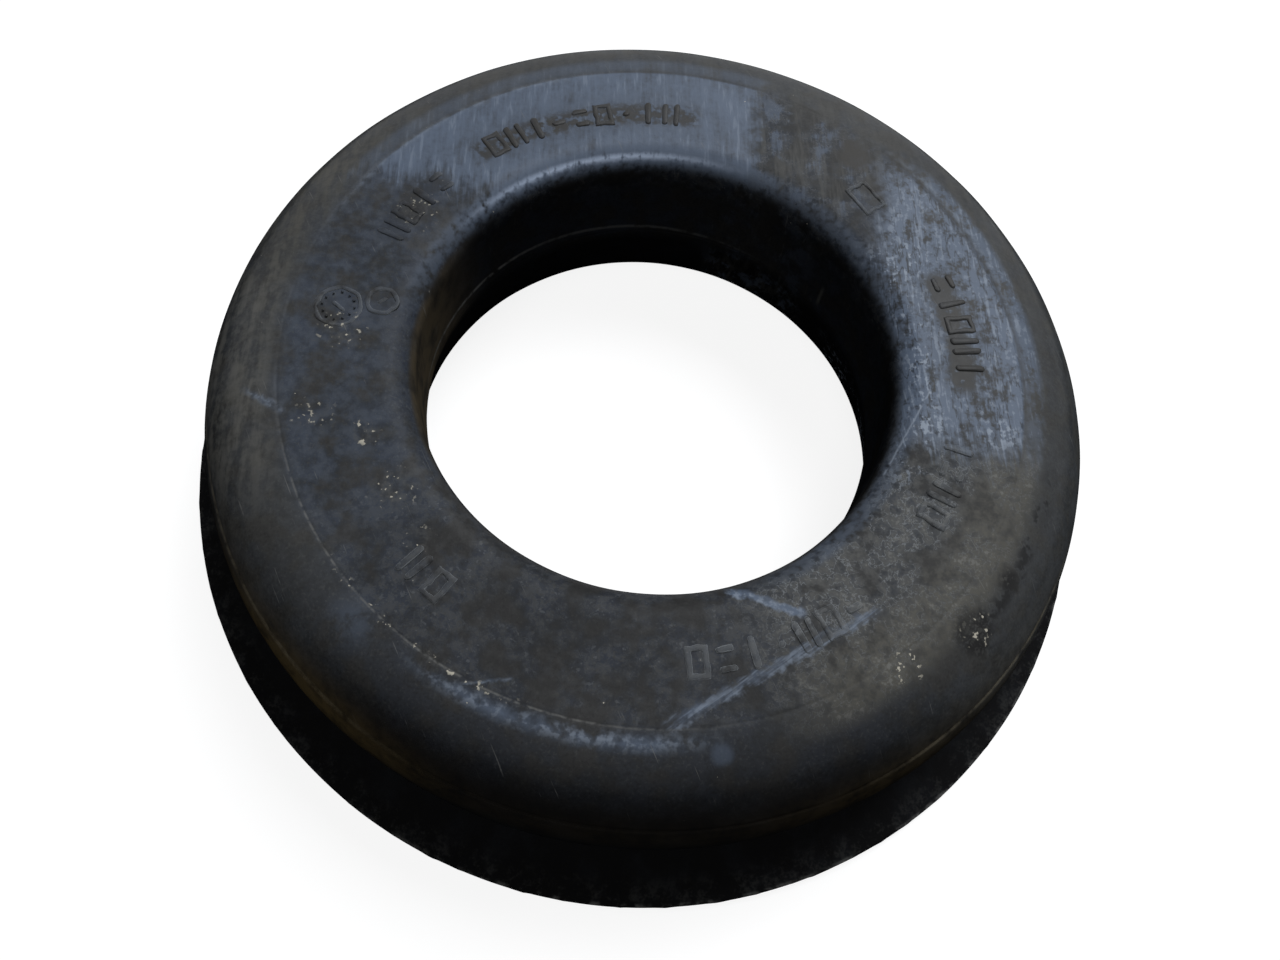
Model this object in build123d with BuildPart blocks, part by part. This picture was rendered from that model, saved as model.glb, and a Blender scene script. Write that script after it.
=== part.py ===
"""Coil spring rubber mount: the moulded rubber ring that sits between a coil spring and its seat.

The ring is one moulding, round about Z, and stands on its foot at z = 0. From the top down it has a
flat face, a tyre-like bulb with a rounded shoulder, a groove around its neck, and a flared flange
that thins to its rim. A straight bore runs down through it and opens into a wider mouth. Lengths
are millimetres.
"""

import os
from math import sqrt

from build123d import *

# Overall sizes
height = 30.5
bulb_diameter = 125.0
flange_diameter = 138.0
bore_diameter = 66.0

# Bulb: the tyre-like upper body, whose shoulder is one round from its widest level up to the top face
widest_height = 18.1
bulb_underside_height = 10.0
bulb_underside_rise = 3.0
bulb_underside_round = 4.8
bore_edge_round = 4.2

# Groove around the neck, between the bulb and the flange
neck_diameter = 112.0
groove_chamfer = 1.0

# Flange: thick at its root, thin at its rim
flange_root_height = 5.0
rim_thickness = 2.2
rim_chamfer = 0.4

# Mouth: the lower end of the bore, wider towards the foot
mouth_diameter = 73.0
throat_height = 13.8

# Parting line: the fine fin of rubber that the mould's joint leaves around the shoulder
parting_height = 24.0
parting_fin_width = 0.5

shoulder_round = height - widest_height
bulb_radius = bulb_diameter / 2
flange_radius = flange_diameter / 2
bore_radius = bore_diameter / 2
neck_radius = neck_diameter / 2
mouth_radius = mouth_diameter / 2


def corner(sketch, radius, level):
    """The sketch's vertex nearest to that radius and height."""
    return sketch.vertices().sort_by_distance((radius, level))[0]


with BuildPart() as rubber_ring:
    with BuildSketch(Plane.XZ) as section:
        # Half of the section, drawn with sharp corners around the wall of the ring
        with BuildLine():
            Polyline(
                (bore_radius, height),
                (bore_radius, throat_height),
                (mouth_radius, 0),
                (flange_radius, 0),
                (flange_radius, rim_thickness),
                (neck_radius, flange_root_height),
                (neck_radius, bulb_underside_height),
                (bulb_radius, bulb_underside_height + bulb_underside_rise),
                (bulb_radius, height),
                close=True,
            )
        make_face()
        fillet(corner(section, bulb_radius, height), shoulder_round)
        fillet(corner(section, bulb_radius, bulb_underside_height + bulb_underside_rise), bulb_underside_round)
        fillet(corner(section, bore_radius, height), bore_edge_round)
        chamfer(corner(section, neck_radius, bulb_underside_height), groove_chamfer)
        chamfer(corner(section, neck_radius, flange_root_height), groove_chamfer)
        chamfer(corner(section, flange_radius, rim_thickness), rim_chamfer)

        # The fin is the outer corner of a small square that stands on its tip on the shoulder's arc
        fin_rise = parting_height - widest_height
        parting_radius = bulb_radius - shoulder_round + sqrt(shoulder_round**2 - fin_rise**2)
        with Locations((parting_radius, parting_height)):
            Rectangle(parting_fin_width, parting_fin_width, rotation=45)
    revolve(axis=Axis.Z)

rubber_ring.part.label = "rubber_ring"
os.makedirs("parts", exist_ok=True)
export_step(rubber_ring.part, "parts/rubber_ring.step")
print("rubber_ring volume", round(rubber_ring.part.volume), "mm3")
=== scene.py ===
"""The looks of the coil spring rubber mount: one black moulded ring, used, scuffed and dusty.

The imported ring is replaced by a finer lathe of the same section, which also has the moulding's fine
lines, and small raised mould marks sit on its top face. Lengths are millimetres until they meet
Blender, which wants metres. Those of the studio's floor and lights are metres.
"""
import math

import bmesh
import bpy
from mathutils import Matrix, Vector, noise


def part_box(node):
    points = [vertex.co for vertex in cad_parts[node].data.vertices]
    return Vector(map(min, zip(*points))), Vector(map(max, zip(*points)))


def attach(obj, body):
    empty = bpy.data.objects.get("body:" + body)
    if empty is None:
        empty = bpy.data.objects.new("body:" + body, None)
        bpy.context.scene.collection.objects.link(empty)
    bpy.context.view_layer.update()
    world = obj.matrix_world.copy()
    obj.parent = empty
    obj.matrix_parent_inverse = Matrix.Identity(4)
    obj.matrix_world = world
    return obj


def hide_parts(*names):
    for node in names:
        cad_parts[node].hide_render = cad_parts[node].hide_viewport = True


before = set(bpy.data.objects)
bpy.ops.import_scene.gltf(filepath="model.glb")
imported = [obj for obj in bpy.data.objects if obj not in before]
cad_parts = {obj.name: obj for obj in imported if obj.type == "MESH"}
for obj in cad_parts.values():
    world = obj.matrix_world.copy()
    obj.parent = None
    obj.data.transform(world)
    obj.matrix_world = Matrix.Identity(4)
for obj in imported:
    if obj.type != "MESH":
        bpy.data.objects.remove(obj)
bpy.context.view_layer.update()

MM = 0.001

# The section's sizes, as in the part: the height and the flange come from the frame
_, ring_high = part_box("rubber_ring")
height = ring_high[2] / MM
flange_radius = ring_high[0] / MM
bulb_radius = 62.5
bore_radius = 33.0
neck_radius = 56.0
mouth_radius = 36.5
widest_height = 18.1
underside_height = 10.0
underside_rise = 3.0
flange_root_height = 5.0
rim_thickness = 2.2
throat_height = 13.8
shoulder_round = height - widest_height
underside_round = 4.8
bore_edge_round = 4.2
groove_round = 1.4
throat_round = 0.5
rim_round = 0.5
foot_round = 0.35

# The moulding's fine lines: where they are, how wide they are, and how far they stand proud
parting_height = 24.0
witness_radius = 50.3
line_width = 0.22
parting_rise = 0.26
witness_rise = 0.10
throat_rise = 0.16

# The surface's lumps, and the nicks in the flange's rim
lump_height = 0.05
nick_depth = 0.25

# The lathe's steps around the ring, and the spacings of its rings along the section
lathe_turns = 560
outline_spacing = 0.05
line_spacing = 0.14
rim_spacing = 0.28
bulb_spacing = 0.62
underside_spacing = 0.8
mouth_spacing = 1.4
foot_spacing = 4.0
line_margin = 0.8
face_depth = 1.0

# The camera's lens and place, in millimetres and degrees
camera_lens = 28.1
camera_distance = 161.0
camera_elevation = 66.1
camera_roll = 9.95
camera_target = Vector((0.45, -5.6, 0.0))
camera_sensor = 36


# ---------------------------------------------------------------- the ring's surface

def rounded_corner(before, corner, after, radius):
    """The arc that rounds a corner between its two neighbours."""
    towards_before = (before - corner).normalized()
    towards_after = (after - corner).normalized()
    half_angle = towards_before.angle(towards_after) / 2
    reach = radius / math.tan(half_angle)
    start = corner + towards_before * reach
    end = corner + towards_after * reach
    centre = corner + (towards_before + towards_after).normalized() * radius / math.sin(half_angle)
    sweep = math.pi - 2 * half_angle
    steps = max(3, round(radius * sweep / outline_spacing))
    arms = (start - centre, end - centre)
    points = []
    for step in range(steps + 1):
        share = step / steps
        from_start = math.sin((1 - share) * sweep) / math.sin(sweep)
        from_end = math.sin(share * sweep) / math.sin(sweep)
        points.append(centre + arms[0] * from_start + arms[1] * from_end)
    return points


def section_outline():
    """The closed outline of the ring's section, as closely spaced (radius, height) points."""
    corners = (
        ((bulb_radius, height), shoulder_round),
        ((bore_radius, height), bore_edge_round),
        ((bore_radius, throat_height), throat_round),
        ((mouth_radius, 0), foot_round),
        ((flange_radius, 0), foot_round),
        ((flange_radius, rim_thickness), rim_round),
        ((neck_radius, flange_root_height), groove_round),
        ((neck_radius, underside_height), groove_round),
        ((bulb_radius, underside_height + underside_rise), underside_round),
    )
    places = [Vector(place) for place, _ in corners]
    outline = []
    for index, (_, radius) in enumerate(corners):
        before = places[index - 1]
        after = places[(index + 1) % len(places)]
        arc = rounded_corner(before, places[index], after, radius)
        if outline:
            outline += straight(outline[-1], arc[0])
        outline += arc
    return outline + straight(outline[-1], outline[0])


def straight(start, end):
    """Closely spaced points between two points, without the ends."""
    steps = max(1, round((end - start).length / outline_spacing))
    return [start.lerp(end, step / steps) for step in range(1, steps)]


def ring_spacing(point):
    """How far apart the lathe's rings may be at a point of the section."""
    radius, level = point
    near_parting = abs(level - parting_height) < line_margin and radius > bulb_radius - shoulder_round
    near_witness = abs(radius - witness_radius) < line_margin and level > height - face_depth
    near_throat = abs(level - throat_height) < line_margin and radius < bore_radius + 1
    if near_parting or near_witness or near_throat:
        return line_spacing
    if level < 0.01:
        return foot_spacing
    if radius > flange_radius - 1.2:
        return rim_spacing
    if radius < mouth_radius + 0.1 and level < throat_height:
        return mouth_spacing
    if level < underside_height + 1:
        return underside_spacing
    return bulb_spacing


def spaced(outline):
    """The outline with its points thinned to the spacing that each place needs."""
    kept = [outline[0]]
    travelled = 0.0
    for before, point in zip(outline, outline[1:]):
        travelled += (point - before).length / ring_spacing(point)
        if travelled >= 1:
            kept.append(point)
            travelled = 0.0
    return kept


def bead(distance, width):
    """A smooth bump's height, from 1 at its middle to 0 well away from it."""
    return math.exp(-((distance / width) ** 2))


def outward(outline, index):
    """The section's outward direction at one of its points."""
    along = outline[(index + 1) % len(outline)] - outline[index - 1]
    return Vector((-along.y, along.x)).normalized()


def surface_offset(radius, level, angle):
    """How far the real surface stands off the plain section: fine lines, lumps and nicks."""
    place = Vector((radius * math.cos(angle), radius * math.sin(angle), level))
    offset = lump_height * noise.noise(place * 0.11)
    uneven = 0.6 + 0.6 * noise.noise(place * 0.16) + 0.35 * noise.noise(place * 0.7)
    if radius > bulb_radius - shoulder_round and level > widest_height:
        offset += parting_rise * uneven * bead(level - parting_height, line_width)
    if level > height - face_depth:
        offset += witness_rise * uneven * bead(radius - witness_radius, line_width)
    if radius < bore_radius + 2:
        offset += throat_rise * uneven * bead(level - throat_height, line_width)
    if radius > flange_radius - 0.8:
        offset -= nick_depth * max(0.0, noise.noise(place * 0.45) - 0.25)
    return offset


def lathe_ring():
    """The ring as one closed mesh, turned from the section."""
    outline = spaced(section_outline())
    directions = [outward(outline, index) for index in range(len(outline))]
    mesh = bmesh.new()
    rows = []
    for turn in range(lathe_turns):
        angle = 2 * math.pi * turn / lathe_turns
        row = []
        for point, direction in zip(outline, directions):
            radius, level = point + direction * surface_offset(point.x, point.y, angle)
            place = Vector((radius * math.cos(angle), radius * math.sin(angle), max(level, 0)))
            row.append(mesh.verts.new(place * MM))
        rows.append(row)
    for turn, row in enumerate(rows):
        following = rows[(turn + 1) % lathe_turns]
        for index in range(len(outline)):
            after = (index + 1) % len(outline)
            mesh.faces.new((row[index], row[after], following[after], following[index]))
    bmesh.ops.recalc_face_normals(mesh, faces=mesh.faces)
    return finished(mesh, "ring_surface")


def finished(mesh, name):
    """A smooth-shaded object from a bmesh, linked to the scene."""
    for face in mesh.faces:
        face.smooth = True
    data = bpy.data.meshes.new(name)
    mesh.to_mesh(data)
    mesh.free()
    piece = bpy.data.objects.new(name, data)
    bpy.context.scene.collection.objects.link(piece)
    return piece


# ---------------------------------------------------------------- the raised mould marks

# The marks' height above the face, the slope of their sides, how far they start under the face,
# and how much of their height and of their straightness is worn away
mark_height = 0.3
mark_draft = 0.19
mark_sink = 0.15
mark_wear = 0.75
mark_wobble = 0.22

# The steps of a bar's round end and of a box's side
outline_steps = 6


def add_mark_point(mesh, point, rise):
    """A vertex of a mark: it stands lower and off its line where the mark is worn."""
    place = Vector((point.x, point.y, 0))
    wear = 0.5 + 0.5 * noise.noise(place * 0.22)
    aside = noise.noise(place * 0.9)
    ahead = noise.noise(place * 0.9 + Vector((40, 0, 0)))
    wobble = Vector((aside, ahead, 0)) * mark_wobble
    lift = rise * (1 - mark_wear * wear) if rise > 0 else rise
    return mesh.verts.new((place + wobble + Vector((0, 0, height + lift))) * MM)


def add_block(mesh, outline):
    """A low raised block with drafted sides, from a closed outline seen from above, in millimetres."""
    centre = sum(outline, Vector((0, 0))) / len(outline)
    profile = ((-mark_sink, 0.0), (mark_height * 0.7, mark_draft), (mark_height, mark_draft * 2.2))
    loops = []
    for rise, inset in profile:
        pulled = [point + (centre - point).normalized() * inset for point in outline]
        loops.append([add_mark_point(mesh, point, rise) for point in pulled])
    count = len(outline)
    for lower, upper in zip(loops, loops[1:]):
        for index in range(count):
            after = (index + 1) % count
            mesh.faces.new((lower[index], lower[after], upper[after], upper[index]))
    mesh.faces.new(loops[-1])
    mesh.faces.new(loops[0][::-1])


def on_face(azimuth, radius, along=0.0, across=0.0):
    """A place on the top face: a polar place, moved along the tangent and outwards."""
    angle = math.radians(azimuth)
    outwards = Vector((math.cos(angle), math.sin(angle)))
    tangent = Vector((-outwards.y, outwards.x))
    return outwards * (radius + across) + tangent * along


def bar_outline(azimuth, radius, length, width, along=0.0, tilt=0.0):
    """A bar with round ends that points outwards, or is tilted from that."""
    points = []
    for end in (1, -1):
        for step in range(outline_steps + 1):
            swing = math.pi * (step / outline_steps - 0.5) + (0 if end > 0 else math.pi)
            across = end * (length - width) / 2 + math.cos(swing) * width / 2
            side = math.sin(swing) * width / 2
            turned = Vector((side, across))
            turned.rotate(Matrix.Rotation(tilt, 2))
            points.append(on_face(azimuth, radius, along + turned.x, turned.y))
    return points


def circle(middle, size, steps=14):
    """Points around a circle of that diameter."""
    turns = [2 * math.pi * step / steps for step in range(steps)]
    return [middle + Vector((math.cos(turn), math.sin(turn))) * size / 2 for turn in turns]


def add_rim(mesh, outer, inner):
    """A raised closed rim between two outlines with as many points each."""
    profile = (
        (-mark_sink, 0.0),
        (mark_height * 0.75, 0.16),
        (mark_height, 0.34),
        (mark_height, 0.66),
        (mark_height * 0.75, 0.84),
        (-mark_sink, 1.0),
    )
    count = len(outer)
    rings = []
    for rise, share in profile:
        between = [outside.lerp(inside, share) for outside, inside in zip(outer, inner)]
        rings.append([add_mark_point(mesh, point, rise) for point in between])
    for lower, upper in zip(rings, rings[1:] + rings[:1]):
        for index in range(count):
            after = (index + 1) % count
            mesh.faces.new((lower[index], lower[after], upper[after], upper[index]))


# The date dials: azimuth, radius, size, number of dots, and the pointer's turn
dials = (
    (-178.0, 43.7, 6.6, 12, 0.6),
    (179.3, 38.2, 4.6, 0, -0.9),
)

# The dials' rims, dots and pointers
dial_rim = 0.7
dial_dot = 0.5
dial_dot_inset = 1.15
pointer_width = 0.55
pointer_share = 0.38
dial_steps = 60


def date_dial():
    """A mould's pair of date dials: round rims, dots and pointers."""
    mesh = bmesh.new()
    for azimuth, radius, size, dots, pointer in dials:
        middle = on_face(azimuth, radius)
        outer = circle(middle, size, dial_steps)
        inner = circle(middle, size - 2 * dial_rim, dial_steps)
        add_rim(mesh, outer, inner)
        reach = size / 2 - dial_dot_inset
        for dot in range(dots):
            turn = 2 * math.pi * dot / dots
            dot_middle = on_face(azimuth, radius, math.cos(turn) * reach, math.sin(turn) * reach)
            add_block(mesh, circle(dot_middle, dial_dot))
        add_block(mesh, bar_outline(azimuth, radius, size * pointer_share, pointer_width, tilt=pointer))
    bmesh.ops.recalc_face_normals(mesh, faces=mesh.faces)
    return finished(mesh, "date_dial")


def box_outlines(azimuth, radius, length, width, line, tilt=0.0):
    """The outer and inner outlines of an open box on the face."""
    turn = Matrix.Rotation(tilt, 2)
    outlines = []
    for inset in (0.0, line):
        corners = []
        for side_x, side_y in ((1, 1), (-1, 1), (-1, -1), (1, -1)):
            corner = Vector((side_x * (length / 2 - inset), side_y * (width / 2 - inset)))
            corner.rotate(turn)
            corners.append(on_face(azimuth, radius, corner.x, corner.y))
        sides = zip(corners, corners[1:] + corners[:1])
        steps = range(outline_steps)
        outlines.append([start.lerp(end, step / outline_steps) for start, end in sides for step in steps])
    return outlines


# The framed field's place and size
frame_azimuth = 51.0
frame_radius = 41.7
frame_length = 5.4
frame_width = 3.9
frame_line = 0.65
frame_tilt = 0.15


def empty_frame():
    """A small framed field, left empty."""
    mesh = bmesh.new()
    box = box_outlines(frame_azimuth, frame_radius, frame_length, frame_width, frame_line, frame_tilt)
    add_rim(mesh, *box)
    bmesh.ops.recalc_face_normals(mesh, faces=mesh.faces)
    return finished(mesh, "empty_frame")


# Rows of plain marks: middle azimuth, radius, pitch in degrees, and one character a mark, where
# | is a bar, : a pair of bars, - a crossways bar, = a pair of those, # an open box, . a dot
mark_rows = {
    "marks_back": (115.0, 42.0, 4.7, "#:|-=#.|:"),
    "marks_back_left": (155.5, 41.5, 4.9, ":#|="),
    "marks_right": (17.5, 43.0, 4.7, "=|#:|"),
    "marks_right_front": (-16.5, 42.0, 4.7, "|=:#"),
    "marks_front_right": (-61.0, 42.6, 4.7, "-#:.|=#"),
    "marks_front_left": (-122.5, 43.0, 5.4, "#:"),
}
crossways = math.pi / 2

# The bars that make up a mark: length, width, shift outwards, shift along the row, and tilt
mark_bars = {
    "|": ((4.4, 1.0, 0.0, 0.0, 0.0),),
    ":": ((4.4, 0.9, 0.0, 0.85, 0.0), (4.4, 0.9, 0.0, -0.85, 0.0)),
    "-": ((2.4, 1.0, 0.0, 0.0, crossways),),
    "=": ((2.6, 0.95, 1.2, 0.0, crossways), (2.6, 0.95, -1.2, 0.0, crossways)),
}

# The open box's length, width and line, and the dot's size
box_length = 3.0
box_width = 4.3
box_line = 0.9
dot_size = 1.2


def mark_row(name, middle, radius, pitch, pattern):
    """A row of raised marks around the top face."""
    mesh = bmesh.new()
    for index, mark in enumerate(pattern):
        azimuth = middle + pitch * ((len(pattern) - 1) / 2 - index)
        for length, width, outwards, along, tilt in mark_bars.get(mark, ()):
            add_block(mesh, bar_outline(azimuth, radius + outwards, length, width, along, tilt))
        if mark == "#":
            add_rim(mesh, *box_outlines(azimuth, radius, box_length, box_width, box_line))
        if mark == ".":
            add_block(mesh, circle(on_face(azimuth, radius), dot_size))
    bmesh.ops.recalc_face_normals(mesh, faces=mesh.faces)
    return finished(mesh, name)


# ---------------------------------------------------------------- shading by fields

class Field:
    """A number that varies over the surface. Its arithmetic adds the nodes that it needs."""

    def __init__(self, tree, socket):
        self.tree = tree
        self.socket = socket

    def worked(self, operation, *others):
        node = self.tree.nodes.new("ShaderNodeMath")
        node.operation = operation
        for slot, value in enumerate((self, *others)):
            if isinstance(value, Field):
                self.tree.links.new(value.socket, node.inputs[slot])
            else:
                node.inputs[slot].default_value = value
        return Field(self.tree, node.outputs[0])

    def __add__(self, other):
        return self.worked("ADD", other)

    def __sub__(self, other):
        return self.worked("SUBTRACT", other)

    def __mul__(self, other):
        return self.worked("MULTIPLY", other)

    def __rsub__(self, other):
        return self.worked("MULTIPLY_ADD", -1.0, other)

    __radd__ = __add__
    __rmul__ = __mul__

    def or_else(self, *others):
        """The largest of some fields."""
        largest = self
        for other in others:
            largest = largest.worked("MAXIMUM", other)
        return largest

    def ramp(self, low, high):
        """0 below low, 1 above high, and smooth between. It falls instead if high is the lower one."""
        node = self.tree.nodes.new("ShaderNodeMapRange")
        node.interpolation_type = "SMOOTHSTEP"
        self.tree.links.new(self.socket, node.inputs["Value"])
        node.inputs["From Min"].default_value = low
        node.inputs["From Max"].default_value = high
        return Field(self.tree, node.outputs["Result"])

    def near(self, middle, half_width, soft):
        """1 within a half width of a middle, and 0 outside, with soft edges."""
        away = (self - middle).worked("ABSOLUTE")
        return away.ramp(half_width + soft, half_width - soft)


class Surface:
    """Where a point of the ring is, in millimetres and degrees, and how patterns are laid over it."""

    def __init__(self, tree):
        self.tree = tree
        coordinates = tree.nodes.new("ShaderNodeTexCoord")
        scaled = tree.nodes.new("ShaderNodeVectorMath")
        scaled.operation = "SCALE"
        tree.links.new(coordinates.outputs["Object"], scaled.inputs[0])
        scaled.inputs["Scale"].default_value = 1 / MM
        self.place = scaled.outputs[0]
        split = tree.nodes.new("ShaderNodeSeparateXYZ")
        tree.links.new(self.place, split.inputs[0])
        self.x, self.y, self.z = (Field(tree, output) for output in split.outputs)
        self.radius = (self.x * self.x + self.y * self.y).worked("SQRT")
        self.azimuth = self.y.worked("ARCTAN2", self.x).worked("DEGREES")

    def measured(self, operation, vector):
        """The place's distance to a point, or its reach along a direction."""
        node = self.tree.nodes.new("ShaderNodeVectorMath")
        node.operation = operation
        self.tree.links.new(self.place, node.inputs[0])
        node.inputs[1].default_value = vector
        return Field(self.tree, node.outputs["Value"])

    def noise(self, size, detail=2.0, stretch=(1, 1, 1), turn=0.0, shift=0.0, rough=0.55):
        """Cloudy noise from 0 to 1, whose features are about that size, stretched and turned about Z."""
        mapping = self.tree.nodes.new("ShaderNodeMapping")
        mapping.vector_type = "TEXTURE"
        mapping.inputs["Location"].default_value = (shift, shift, shift)
        mapping.inputs["Rotation"].default_value = (0, 0, math.radians(turn))
        mapping.inputs["Scale"].default_value = [size * factor for factor in stretch]
        self.tree.links.new(self.place, mapping.inputs["Vector"])
        node = self.tree.nodes.new("ShaderNodeTexNoise")
        node.inputs["Scale"].default_value = 1.0
        node.inputs["Detail"].default_value = detail
        node.inputs["Roughness"].default_value = rough
        self.tree.links.new(mapping.outputs[0], node.inputs["Vector"])
        return Field(self.tree, node.outputs["Fac"])

    def sector(self, azimuth, half_width, soft):
        """1 within an angle each side of an azimuth, in degrees."""
        away = (self.azimuth - azimuth).worked("PINGPONG", 180.0)
        return away.ramp(half_width + soft, half_width - soft)

    def spot(self, azimuth, radius, size, soft, wander=0.0):
        """A round patch on the face or shoulder, whose edge wanders by a field."""
        away = self.measured("DISTANCE", (*on_face(azimuth, radius), height)) + wander
        return away.ramp(size + soft, size - soft)

    def spots(self, places, wander):
        """Several round patches, from the azimuth, radius, size and softness of each."""
        first, *others = (self.spot(*place, wander) for place in places)
        return first.or_else(*others)

    def stroke(self, start, end, width, soft, wander=0.0):
        """A straight smear between two polar places (azimuth, radius) on the face."""
        first, last = (on_face(*place) for place in (start, end))
        length = (last - first).length
        along = (last - first).normalized()
        across = Vector((along.y, -along.x))
        ahead = self.measured("DOT_PRODUCT", (*along, 0)) - along.dot(first)
        aside = self.measured("DOT_PRODUCT", (*across, 0)) + wander
        return ahead.near(length / 2, length / 2, soft * 2) * aside.near(across.dot(first), width, soft)


class Paint:
    """A colour that is built up by laying others over it."""

    def __init__(self, tree, colour):
        self.tree = tree
        self.colour = colour

    def lay(self, over, amount):
        """Lay a colour over this one, by a field from 0 to 1."""
        node = self.tree.nodes.new("ShaderNodeMix")
        node.data_type = "RGBA"
        self.tree.links.new(amount.socket, node.inputs["Factor"])
        under_socket, over_socket = (entry for entry in node.inputs if entry.type == "RGBA")
        if isinstance(self.colour, tuple):
            under_socket.default_value = (*self.colour, 1.0)
        else:
            self.tree.links.new(self.colour, under_socket)
        over_socket.default_value = (*over, 1.0)
        self.colour = next(entry for entry in node.outputs if entry.type == "RGBA")


# ---------------------------------------------------------------- the rubber's layers

# Each layer is a colour, and how much of it covers what lies under it, from 0 to 1. Radii and
# heights are in millimetres. A sector is an azimuth, a half width and a softness in degrees. The
# amounts, and the levels at which a pattern starts and ends, were tuned over many rounds,
# comparing the render with the photo: crops, and tables of mean colour and local contrast
# by region.

# The rubber's colours
# black is the darkest rubber, and also the colour of the painted shade on the sides, bore and front
black = (0.008, 0.008, 0.0085)
rubber_dark = (0.017, 0.019, 0.022)
rubber_mid = (0.035, 0.038, 0.043)
rubber_blue = (0.026, 0.032, 0.046)
rubber_brown = (0.033, 0.031, 0.028)
bloom_blue = (0.090, 0.114, 0.158)
bloom_pale = (0.23, 0.265, 0.32)
dust_grey = (0.075, 0.075, 0.071)
dust_pale = (0.15, 0.15, 0.145)
scuff_grey = (0.16, 0.17, 0.18)
dust_brown = (0.078, 0.074, 0.062)
parting_tan = (0.15, 0.13, 0.09)
stain_brown = (0.072, 0.052, 0.023)
wall_brown = (0.060, 0.048, 0.032)
grit_tan = (0.44, 0.41, 0.34)
# painted_lip_highlight is a painted highlight: the bright line on the bore's lip at the back
painted_lip_highlight = (0.38, 0.45, 0.58)

# The direction of the brushing, and the turns of the scratches and of the long smear's strands
grain_turn = 10.0
scratch_turn = 35.0
strand_turn = -45.0

# The radius at the middle of the mark rows, and on the bore's rounded edge
row_radius = 42.0
lip_radius = bore_radius + 1.6

# The rubber's finish, where it is bare and dull, and the depth of its grain
plain_roughness = 0.62
face_sheen = 0.11
grain_strength = 0.4
grain_depth = 0.06

# Round patches: azimuth, radius, size and softness of each
burnt_spots = ((-35, 54.6, 2.9, 1.0), (-26, 54.6, 1.7, 0.8))
# glint_spots are painted highlights: pale glints on the face at the right
glint_spots = ((-5, 37.5, 2.5, 1.5), (-4, 47, 2.2, 1.5), (34, 40, 3.5, 2.0))
grit_spots = (
    (-173.5, 42.5, 2.6, 1.3),
    (-151, 40.2, 1.6, 0.8),
    (-139, 39.6, 2.6, 1.2),
    (-128, 40.8, 1.5, 0.8),
    (-34.5, 54.8, 2.3, 0.8),
    (-46, 51.8, 1.9, 0.8),
)
faint_grit_spots = ((-157, 46, 2.2, 1.2), (157, 40.5, 2.8, 1.2))


class RubberSurface(Surface):
    """The surface with the patterns and the places that several of the rubber's layers share."""

    def __init__(self, tree, is_mark):
        super().__init__(tree)

        # Patterns: noises, and mixes of them
        self.clouds = self.noise(15)
        self.mottle = self.noise(4, detail=3, shift=40)
        self.fine = self.noise(1.2, shift=80)
        self.grain = self.noise(0.4, detail=1)
        self.crumbs = self.noise(0.75, detail=2, shift=30)
        self.streaks = self.noise(0.45, stretch=(1, 9, 6), turn=grain_turn)
        self.wide_streaks = self.noise(1.4, detail=3, stretch=(1, 6, 4), turn=grain_turn, shift=15)
        self.wander = (self.noise(5, detail=3, shift=60, rough=0.65) - 0.5) * 7
        self.jitter = (self.fine - 0.5) * 2.2
        self.ragged = self.wander * 0.25 + self.jitter
        self.patchy = self.mottle * 0.6 + self.fine * 0.4
        self.scuffs = self.mottle * 0.8 + self.fine * 0.7 + self.grain * 0.4

        # Places: 1 where they are, and 0 elsewhere
        self.front = self.sector(-86, 42, 16)
        self.top = self.z.ramp(23, 29)
        self.bore = self.radius.ramp(bore_radius + 0.9, bore_radius + 0.1)
        self.outside = self.radius.ramp(48.5, 52)
        # lit is 1 where light falls on the ring; where it is low, black is laid as painted shade, reaching
        # higher at the front
        self.lit = (self.z - self.front * 5.5).ramp(19.5, 26.5) * (1 - self.bore)
        self.brushed = self.y.ramp(-25, 25)
        self.handled = self.top * (1 - self.outside) * (1 - self.sector(-178, 40, 14) * 0.55)
        self.between = self.sector(66, 15, 5) * self.radius.near(row_radius, 8, 2)
        self.burnt = self.spots(burnt_spots, self.ragged * 0.6)
        self.place_bloom()
        self.place_rows(is_mark)

    def place_bloom(self):
        """The bloom's two straight-edged patches, at the back and at the right."""
        within_line = self.radius.ramp(witness_radius + 0.2, witness_radius - 0.4)
        self.face = within_line * self.radius.ramp(bore_radius + 0.6, bore_radius + 1.3)
        beyond = self.radius.near(witness_radius + 1.5, 1.2, 0.8) * (0.4 + self.sector(28, 22, 8) * 0.4)
        x = self.x + self.wander + self.jitter * 1.4
        y = self.y + self.wander + self.jitter * 1.4 + (self.streaks - 0.5) * 9
        self.back_patch = y.ramp(19, 25) * x.ramp(10, 7)
        self.right_patch = x.ramp(26, 32) * y.near(17, 23, 4)
        self.coverable = (self.face + beyond) * self.top
        self.haze = self.back_patch.or_else(self.right_patch) * self.coverable

    def place_rows(self, is_mark):
        """Where the mark rows that stand in the bloom are, and how far it is worn away there."""
        right_row = self.sector(16, 13, 2)
        self.rows = right_row.or_else(self.sector(114.5, 24, 2), self.sector(156, 9, 2))
        self.bare = self.rows
        if not is_mark:
            worn_away = (self.mottle * 0.5 + self.fine + right_row * 0.15).ramp(0.6, 0.82)
            in_row = (self.radius + self.ragged * 1.3).near(row_radius, 1.6, 0.8)
            self.bare = self.rows * in_row * worn_away
        around_rows = self.rows * self.radius.near(row_radius, 3.5, 2) * 0.25
        self.kept = 1 - self.bare * 0.85 - around_rows


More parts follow.
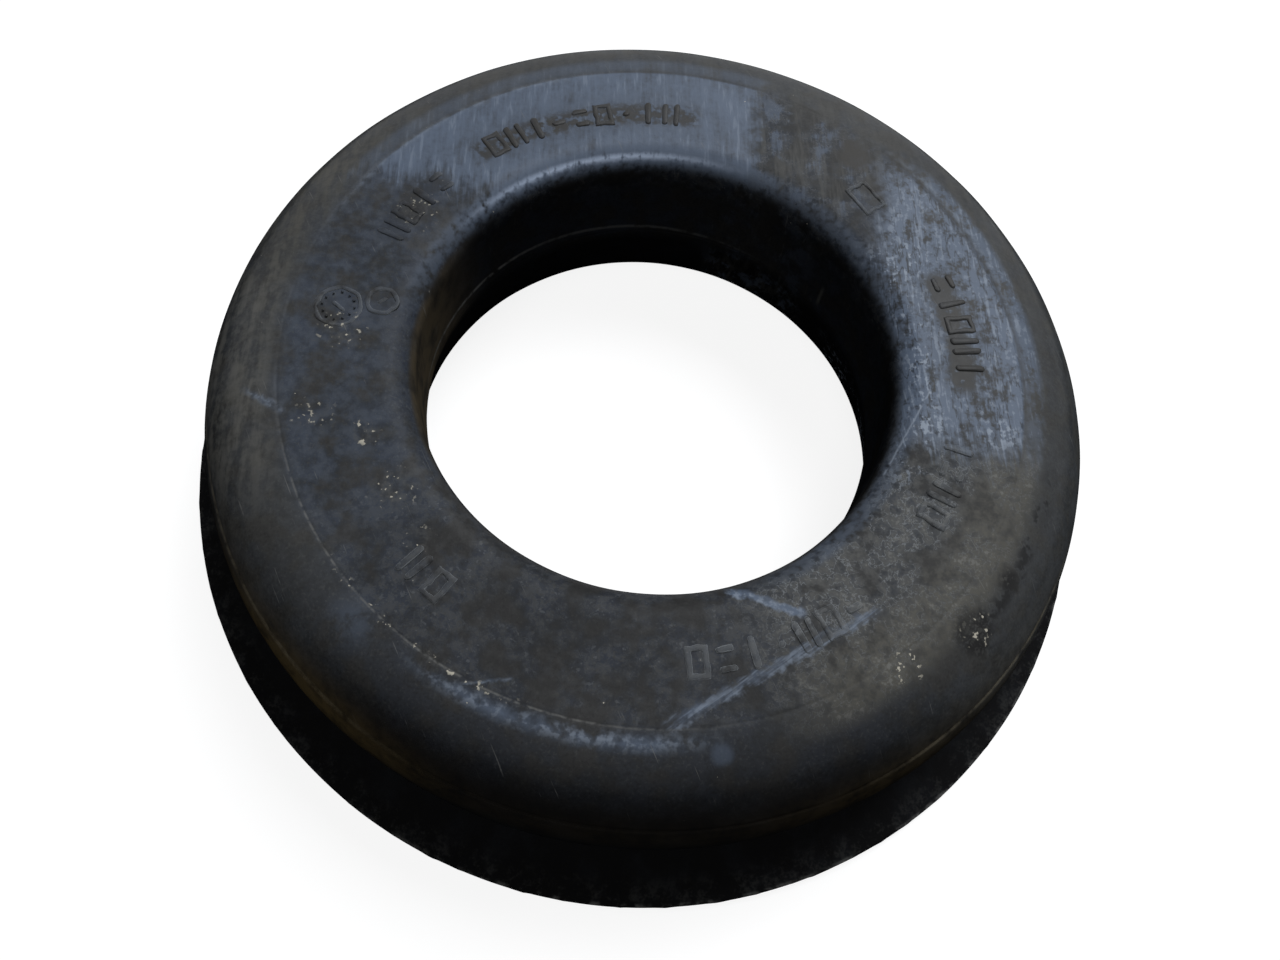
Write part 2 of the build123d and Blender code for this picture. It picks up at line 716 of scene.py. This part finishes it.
def lay_bare_rubber_and_shade(paint, here):
    """The bare rubber, bluish in places and brownish in others, and painted shade: black on its sides, bore
    and front.
    """
    paint.lay(rubber_mid, here.clouds.ramp(0.35, 0.65) * 0.5 + here.fine.ramp(0.4, 0.65) * 0.45)
    paint.lay(rubber_blue, here.mottle.ramp(0.4, 0.68) * (0.75 - here.outside * 0.4))
    paint.lay(rubber_brown, (here.mottle - here.clouds * 0.3).ramp(0.38, 0.2) * 0.6)
    # Painted shade: black where the ring turns away from the light, on the sides, the underside and in the
    # bore
    darkness = 0.98 - here.mottle.ramp(0.4, 0.7) * 0.12 - here.bore * 0.4
    paint.lay(black, (1 - here.lit) * darkness)
    paint.lay(black, here.streaks.ramp(0.55, 0.8) * here.brushed * 0.5)
    # Painted shade too: the front shoulder is darkened, where the light from behind does not reach
    paint.lay(black, here.grain.ramp(0.5, 0.75) * 0.45 + here.front * here.lit * 0.25)
    paint.lay(dust_grey, here.grain.ramp(0.42, 0.28) * here.lit * (here.mottle * 0.4 + 0.05))
    paint.lay(dust_grey, here.scuffs.ramp(0.96, 1.14) * here.handled * 0.3)
    paint.lay(black, here.scuffs.ramp(0.94, 0.76) * here.handled * 0.35)
    flecked = here.crumbs.ramp(0.62, 0.68) * here.mottle.ramp(0.42, 0.58)
    paint.lay(scuff_grey, flecked * here.handled * 0.2)


def lay_stains(paint, here):
    """Brown stains under the shoulder, the parting's worn fin, and the bore's wall and throat."""
    stained = (
        here.sector(-127, 13, 15) * 1.3
        + here.sector(-50, 12, 14) * 0.4
        + here.sector(-88, 38, 14) * 0.12
    )
    stain = here.z.near(22.3, 2.8, 2.9) * stained * (1 - here.bore)
    paint.lay(stain_brown, stain * here.patchy.ramp(0.2, 0.65))
    right_stain = here.z.near(23.7, 3, 2.5) * here.sector(-33, 11, 10)
    paint.lay(dust_brown, right_stain * here.patchy.ramp(0.25, 0.65) * 0.4)
    parting = here.z.near(parting_height, 0.3, 0.35) * here.outside
    worn_parting = parting * (here.sector(-34, 16, 9) + here.sector(-140, 22, 12))
    paint.lay(parting_tan, worn_parting * here.patchy.ramp(0.35, 0.6) * 0.8)
    left_wall = here.bore * here.sector(-172, 27, 14)
    paint.lay(wall_brown, left_wall * (here.mottle.ramp(0.3, 0.6) * 0.7 + 0.3))
    throat_line = here.bore * (here.z + here.x * 0.04).near(throat_height + 0.9, 0.3, 0.25)
    worn_throat = here.sector(120, 40, 25) * 0.4 + here.sector(160, 20, 10) * 0.6
    paint.lay(dust_pale, throat_line * worn_throat * here.patchy.ramp(0.35, 0.55))
    paint.lay(dust_grey, here.bore * here.streaks.ramp(0.6, 0.8) * 0.2)
    wall_tick = here.sector(45, 0.5, 0.4) * here.z.near(17, 2, 1)
    paint.lay(dust_grey, here.bore * wall_tick * 0.6)


def lay_dust(paint, here):
    """Dust and a painted sheen on the shoulder's sides and back, left off the shaded front; dust most at
    the right corner.
    """
    # Partly dust and partly painted sheen: it lightens the shoulder where light from behind falls, and is
    # left off the front, which is in shade
    shoulder_dust_and_sheen = here.outside * here.z.ramp(19, 26.5) * (1 - here.front)
    dusty = here.wide_streaks * here.brushed + here.mottle * (1 - here.brushed) * 0.8 + here.fine * 0.3
    paint.lay(dust_grey, shoulder_dust_and_sheen * (dusty - 0.2) * 0.75)
    paint.lay(black, here.radius.near(55.3, 1.2, 2.2) * here.z.ramp(27, 29) * 0.22)
    left_dust = here.radius.ramp(50, 54) * (here.wide_streaks * 0.8 + here.fine * 0.4).ramp(0.45, 0.8)
    paint.lay(dust_brown, left_dust * here.sector(178, 33, 10) * here.lit * 0.5)
    paint.lay(dust_pale, left_dust * here.sector(-166, 17, 7) * here.z.ramp(22, 25) * 0.3)

    corner_band = (here.radius + here.y * 0.02 + here.ragged * 0.7).near(43.5, 9.3, 1.5)
    corner = here.sector(-33, 28, 9) * corner_band * here.top
    outer_corner = here.radius.ramp(42, 48)
    paint.lay(dust_brown, corner * outer_corner * here.scuffs.ramp(0.55, 1.25) * 0.9)
    paint.lay(dust_grey, corner * (1 - outer_corner) * here.scuffs.ramp(0.75, 1.15) * 0.75)
    scribbles = (here.fine * 0.6 + here.crumbs * 0.4).near(0.5, 0.008, 0.014)
    scribbled = corner * (0.8 - outer_corner * 0.5) + here.between * 0.3 + here.handled * 0.09
    paint.lay(scuff_grey, scribbles * here.mottle.ramp(0.42, 0.52) * scribbled)
    paint.lay(dust_pale, corner * here.scuffs.ramp(1.1, 1.2) * 0.5)
    pitted = here.sector(-23, 14, 4) * (here.radius + here.wander * 0.3).near(54.6, 1.1, 0.8)
    pits = pitted * here.patchy.ramp(0.5, 0.58)
    paint.lay(black, pits.or_else(here.burnt * here.crumbs.ramp(0.35, 0.47)) * 0.85)

    brushed_dust = (here.wide_streaks * 0.8 + here.streaks * 0.4).ramp(0.55, 0.75)
    paint.lay(dust_grey, here.between * brushed_dust * 0.45)
    paint.lay(bloom_blue, here.between * (here.mottle + here.streaks * 0.4).ramp(0.72, 0.85) * 0.5)
    paint.lay(rubber_brown, here.spot(59, 46.5, 3.0, 1.2, here.wander * 0.6) * 0.9)


def lay_bloom(paint, here):
    """Bloom: the pale blue haze that old rubber sweats out, paler in places, and painted highlights on the
    bore's lip and at the right.
    """
    brushing = here.streaks * 0.5 + here.wide_streaks * 0.8 + here.mottle * 0.6 + here.crumbs * 0.4
    smooth_bloom = here.back_patch * brushing.ramp(0.5, 1.35)
    rough_bloom = here.right_patch * (here.scuffs * 0.6 + brushing * 0.4).ramp(0.84, 1.06)
    paint.lay(bloom_blue, smooth_bloom.or_else(rough_bloom) * here.coverable * here.kept)
    left_band = here.sector(178, 44, 16) * here.radius.near(43.5, 7, 2)
    paint.lay(bloom_blue, left_band * here.scuffs.ramp(0.65, 1.4) * here.top * 0.27)
    # Bloom on the lip, and a painted soft highlight where it is doubled at the back
    lip = here.radius.near(lip_radius, 1.2, 0.6) * here.z.ramp(27, 29)
    around_lip = here.sector(60, 115, 12) + here.sector(116, 32, 20)
    paint.lay(bloom_blue, lip * around_lip * here.fine.ramp(0.25, 0.6) * 0.45)
    creases = here.right_patch * here.face * here.wide_streaks.near(0.5, 0.012, 0.01)
    paint.lay(rubber_dark, creases * 0.7)
    brushed_flecks = here.streaks.ramp(0.52, 0.66) * (here.wide_streaks + here.jitter * 0.1).ramp(0.47, 0.6)
    paint.lay(bloom_pale, here.haze * brushed_flecks * here.kept * (here.right_patch * 0.2 + 0.24))

    # Painted highlight: pale glints, broken up by crackle, on the bore's rounded edge at the right and in a
    # few spots
    inner = here.radius.near(36.4, 1.8, 1.2) * here.sector(10, 28, 8)
    glint_area = inner.or_else(here.spots(glint_spots, here.ragged), here.haze * here.right_patch * 0.45)
    crackle = (here.streaks * 0.5 + here.crumbs * 0.7 + here.mottle * 0.4).ramp(0.84, 0.96)
    paint.lay(bloom_pale, glint_area * crackle * here.kept * 0.9)
    cracks = here.wide_streaks.near(0.5, 0.02, 0.02) * here.crumbs.ramp(0.55, 0.45)
    paint.lay(rubber_dark, glint_area * cracks * 0.6)
    # Painted highlight: a bright thin line along the start of the bore's rounded lip at the back
    lip_highlight = (here.radius + here.jitter * 0.25).near(lip_radius, 0.25, 0.4) * here.sector(116, 26, 18)
    paint.lay(painted_lip_highlight, lip_highlight * here.top * (here.fine + here.streaks * 0.5).ramp(0.5, 0.8))
    paint.lay(rubber_brown, here.bare * here.haze * 0.6)
    paint.lay(black, here.bare * here.sector(152, 13, 4) * 0.4)


def lay_smears(paint, here):
    """Smears, where something rubbed the front, and a painted highlight band along the front shoulder."""
    long_smear = here.stroke((-44, 44.5), (-80, 49.9), 0.5, 0.6, here.jitter) * here.top
    strands = here.noise(0.4, detail=1, stretch=(1, 12, 12), turn=strand_turn)
    paint.lay(bloom_blue, long_smear * (strands * 0.6 + here.patchy * 0.8).ramp(0.4, 0.95) * 0.9)
    paint.lay(bloom_pale, long_smear * (strands + here.fine * 0.4).ramp(0.66, 0.84) * 0.4)
    smears_and_highlight = here.stroke((-55, 40.3), (-67, 34.0), 0.5, 0.3, here.jitter * 0.7).or_else(
        here.stroke((-163, 54.4), (-158.5, 49.8), 0.35, 0.6, here.jitter * 0.5) * 0.6,
        here.stroke((-102.5, 48), (-108, 51), 0.1, 0.25, here.jitter * 0.4) * 0.55,
        # Painted highlight: the pale band along the front of the shoulder, where light from above gleams
        (here.radius + here.jitter * 0.5).near(52, 0.5, 1.1) * here.sector(-95, 17, 7) * 0.9,
    )
    smear_and_highlight = smears_and_highlight * here.top
    paint.lay(bloom_blue, smear_and_highlight * here.patchy.ramp(0.28, 0.6))
    paint.lay(bloom_pale, smear_and_highlight * (here.crumbs * 0.5 + here.fine * 0.5).ramp(0.46, 0.6) * 0.6)
    paint.lay(bloom_blue, here.spot(-73.4, 53.6, 1.3, 0.5, here.jitter * 0.3) * 0.35)
    soft_spot = here.spot(-125, 52.8, 2.4, 2.5, here.ragged)
    paint.lay(bloom_blue, soft_spot * here.patchy.ramp(0.4, 0.6) * 0.35)


def lay_lines(paint, here):
    """The moulding's line around the face, and scratches."""
    near_line = here.radius.near(witness_radius, 0.12, 0.1) * here.top
    along_line = here.sector(-118, 32, 12) * 0.4 + here.sector(-113, 42, 10) * 0.12
    paint.lay(dust_pale, near_line * along_line * here.fine.ramp(0.35, 0.6))
    edge_line = here.radius.near(witness_radius - 0.2, 0.3, 0.5) * here.top * here.sector(137, 25, 10)
    paint.lay(bloom_pale, edge_line * here.fine.ramp(0.3, 0.7) * 0.3)
    groove = here.sector(38, 14, 10)
    paint.lay(black, here.radius.near(witness_radius - 0.3, 0.2, 0.4) * groove * 0.6)
    beside_line = here.radius.near(witness_radius + 0.8, 0.3, 0.4) * groove
    paint.lay(bloom_pale, beside_line * here.fine.ramp(0.4, 0.6) * 0.2)
    scratch = here.noise(0.2, detail=0, stretch=(1, 24, 24), turn=scratch_turn, shift=35)
    paint.lay(dust_pale, scratch.ramp(0.77, 0.86) * here.top * here.mottle.ramp(0.45, 0.6) * 0.45)
    crease = here.stroke((2, 37.2), (-20, 34.1), 0.1, 0.12, here.jitter * 0.15)
    paint.lay(bloom_pale, crease * here.fine.ramp(0.3, 0.5) * 0.7)


def lay_grit(paint, here):
    """Grit in clusters and along the moulding's line, and a few loose grains."""
    smudged = here.spots(grit_spots, here.ragged).or_else(
        here.spots(faint_grit_spots, here.ragged) * 0.6,
        here.radius.near(witness_radius, 0.45, 0.35) * here.sector(-117, 14, 6),
    )
    grit = here.crumbs.ramp(0.64, 0.68) * smudged + here.crumbs.ramp(0.79, 0.81) * here.top
    smudges = smudged * (here.crumbs * 0.6 + here.fine * 0.5).ramp(0.52, 0.66) * here.top
    paint.lay(dust_grey, smudges * 0.4)
    paint.lay(grit_tan, grit.worked("MINIMUM", 1.0) * 0.9)


def lay_flange(paint, here):
    """The dusty flange, and its rim, worn and with a painted highlight along the front and right."""
    flange = here.radius.ramp(flange_radius - 5, flange_radius - 0.5) * here.z.ramp(4.5, 3.5)
    dusty = (here.fine * 0.5 + here.mottle * 0.4 + here.grain * 0.4).ramp(0.62, 0.85)
    paint.lay(dust_grey, flange * dusty * 0.25)
    # The rim's pale line is partly wear and partly a painted highlight along its edge
    edge = here.radius.ramp(flange_radius - 0.6, flange_radius - 0.1)
    rim_wear_and_highlight = edge * here.z.ramp(0.6, 1.4) * here.sector(-55, 55, 25)
    paint.lay(dust_pale, rim_wear_and_highlight * here.patchy.ramp(0.45, 0.63) * 0.7)


def lay_mark_wear_and_highlights(paint, here):
    """The marks' tops and drafted edges, scuffed pale outside the bloom, and painted highlights on their
    sloped sides.
    """
    facing = here.tree.nodes.new("ShaderNodeNewGeometry")
    split = here.tree.nodes.new("ShaderNodeSeparateXYZ")
    here.tree.links.new(facing.outputs["True Normal"], split.inputs[0])
    # Painted highlight: the marks' sloped sides are laid paler than their tops
    edge = Field(here.tree, split.outputs[2]).ramp(0.98, 0.8)
    worn = here.patchy.ramp(0.33, 0.52) * (1 - here.rows * 0.9) * (1 + here.sector(-64, 16, 4) * 0.6)
    paint.lay(scuff_grey, (edge * 0.6 + 0.16) * worn)


def rubber(name, is_mark=False):
    """Black moulded rubber with bloom, dust, stains, scratches and grit."""
    material = bpy.data.materials.new(name)
    material.use_nodes = True
    tree = material.node_tree
    shader = tree.nodes["Principled BSDF"]
    here = RubberSurface(tree, is_mark)
    paint = Paint(tree, rubber_dark)
    lay_bare_rubber_and_shade(paint, here)
    lay_stains(paint, here)
    lay_dust(paint, here)
    lay_bloom(paint, here)
    lay_smears(paint, here)
    lay_lines(paint, here)
    lay_grit(paint, here)
    lay_flange(paint, here)
    if is_mark:
        lay_mark_wear_and_highlights(paint, here)
    tree.links.new(paint.colour, shader.inputs["Base Color"])
    roughness = plain_roughness - 0.14 * here.clouds - 0.1 * here.haze - 0.2 * here.burnt
    tree.links.new(roughness.socket, shader.inputs["Roughness"])
    sheen = here.z.ramp(27.5, 30) * (1 - here.bore) * face_sheen
    tree.links.new(sheen.socket, shader.inputs["Specular IOR Level"])

    bump = tree.nodes.new("ShaderNodeBump")
    bump.inputs["Strength"].default_value = grain_strength
    bump.inputs["Distance"].default_value = grain_depth * MM
    tree.links.new((here.grain * 0.6 + here.streaks * 0.5).socket, bump.inputs["Height"])
    tree.links.new(bump.outputs[0], shader.inputs["Normal"])
    return material


# ---------------------------------------------------------------- the studio

# The floor in metres, its grey, how white it glows where it is seen, and the sky's light
floor_size = 6.0
floor_grey = 0.25
floor_glow = 0.86
sky_light = 0.01


def seen_as_backdrop(tree):
    """1 for the rays that see the backdrop: the camera's, and those from gloss and glass."""
    path = tree.nodes.new("ShaderNodeLightPath")
    seen = Field(tree, path.outputs["Is Camera Ray"]) + Field(tree, path.outputs["Is Glossy Ray"])
    return (seen + Field(tree, path.outputs["Is Transmission Ray"])).worked("MINIMUM", 1.0)


def pale_floor():
    """A wide floor that shows white, and lights the ring only as a pale floor would."""
    half = floor_size / 2
    corners = [(-half, -half, 0), (half, -half, 0), (half, half, 0), (-half, half, 0)]
    data = bpy.data.meshes.new("floor")
    data.from_pydata(corners, [], [(0, 1, 2, 3)])
    floor = bpy.data.objects.new("floor", data)
    bpy.context.scene.collection.objects.link(floor)
    material = bpy.data.materials.new("pale_floor")
    material.use_nodes = True
    tree = material.node_tree
    output = tree.nodes["Material Output"]
    diffuse = tree.nodes["Principled BSDF"]
    diffuse.inputs["Base Color"].default_value = (floor_grey, floor_grey, floor_grey, 1)
    diffuse.inputs["Roughness"].default_value = 1.0
    diffuse.inputs["Specular IOR Level"].default_value = 0.0
    white = tree.nodes.new("ShaderNodeEmission")
    tree.links.new((seen_as_backdrop(tree) * floor_glow).socket, white.inputs["Strength"])
    both = tree.nodes.new("ShaderNodeAddShader")
    tree.links.new(diffuse.outputs[0], both.inputs[0])
    tree.links.new(white.outputs[0], both.inputs[1])
    tree.links.new(both.outputs[0], output.inputs["Surface"])
    data.materials.append(material)


def soft_light(name, place, size, power, colour=(1, 1, 1)):
    """A square soft light that faces the ring."""
    data = bpy.data.lights.new(name, "AREA")
    data.shape = "SQUARE"
    data.size = size
    data.energy = power
    data.color = colour
    light = bpy.data.objects.new(name, data)
    light.location = place
    light.rotation_euler = (-Vector(place)).to_track_quat("-Z", "Y").to_euler()
    bpy.context.scene.collection.objects.link(light)


def studio():
    """Plain soft light, mostly from above and behind, under a dim pale sky."""
    soft_light("back_light", (0.28, 0.62, 0.95), size=0.6, power=13.0, colour=(0.94, 0.97, 1.0))
    soft_light("top_light", (-0.08, -0.34, 1.0), size=0.45, power=2.4)
    world = bpy.data.worlds.new("studio")
    bpy.context.scene.world = world
    world.use_nodes = True
    background = world.node_tree.nodes["Background"]
    background.inputs["Color"].default_value = (1, 1, 1, 1)
    level = seen_as_backdrop(world.node_tree) * (1 - sky_light) + sky_light
    world.node_tree.links.new(level.socket, background.inputs["Strength"])


def camera():
    """The camera above the front, rolled a little."""
    elevation = math.radians(camera_elevation)
    back = Vector((0, -math.cos(elevation), math.sin(elevation)))
    data = bpy.data.cameras.new("camera")
    data.lens = camera_lens
    data.sensor_width = camera_sensor
    eye = bpy.data.objects.new("camera", data)
    turn = (-back).to_track_quat("-Z", "Y").to_matrix().to_4x4()
    roll = Matrix.Rotation(math.radians(camera_roll), 4, "Z")
    eye.matrix_world = Matrix.Translation((camera_target + back * camera_distance) * MM) @ turn @ roll
    bpy.context.scene.collection.objects.link(eye)
    bpy.context.scene.camera = eye


bpy.context.scene.view_settings.view_transform = "Standard"
camera()
studio()
pale_floor()

ring = lathe_ring()
face_rubber = rubber("face_rubber")
mark_rubber = rubber("mark_rubber", is_mark=True)
pieces = [ring, date_dial(), empty_frame()]
for row_name, row in mark_rows.items():
    pieces.append(mark_row(row_name, *row))
for piece in pieces:
    piece.data.materials.append(face_rubber if piece == ring else mark_rubber)
    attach(piece, "root")
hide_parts("rubber_ring")
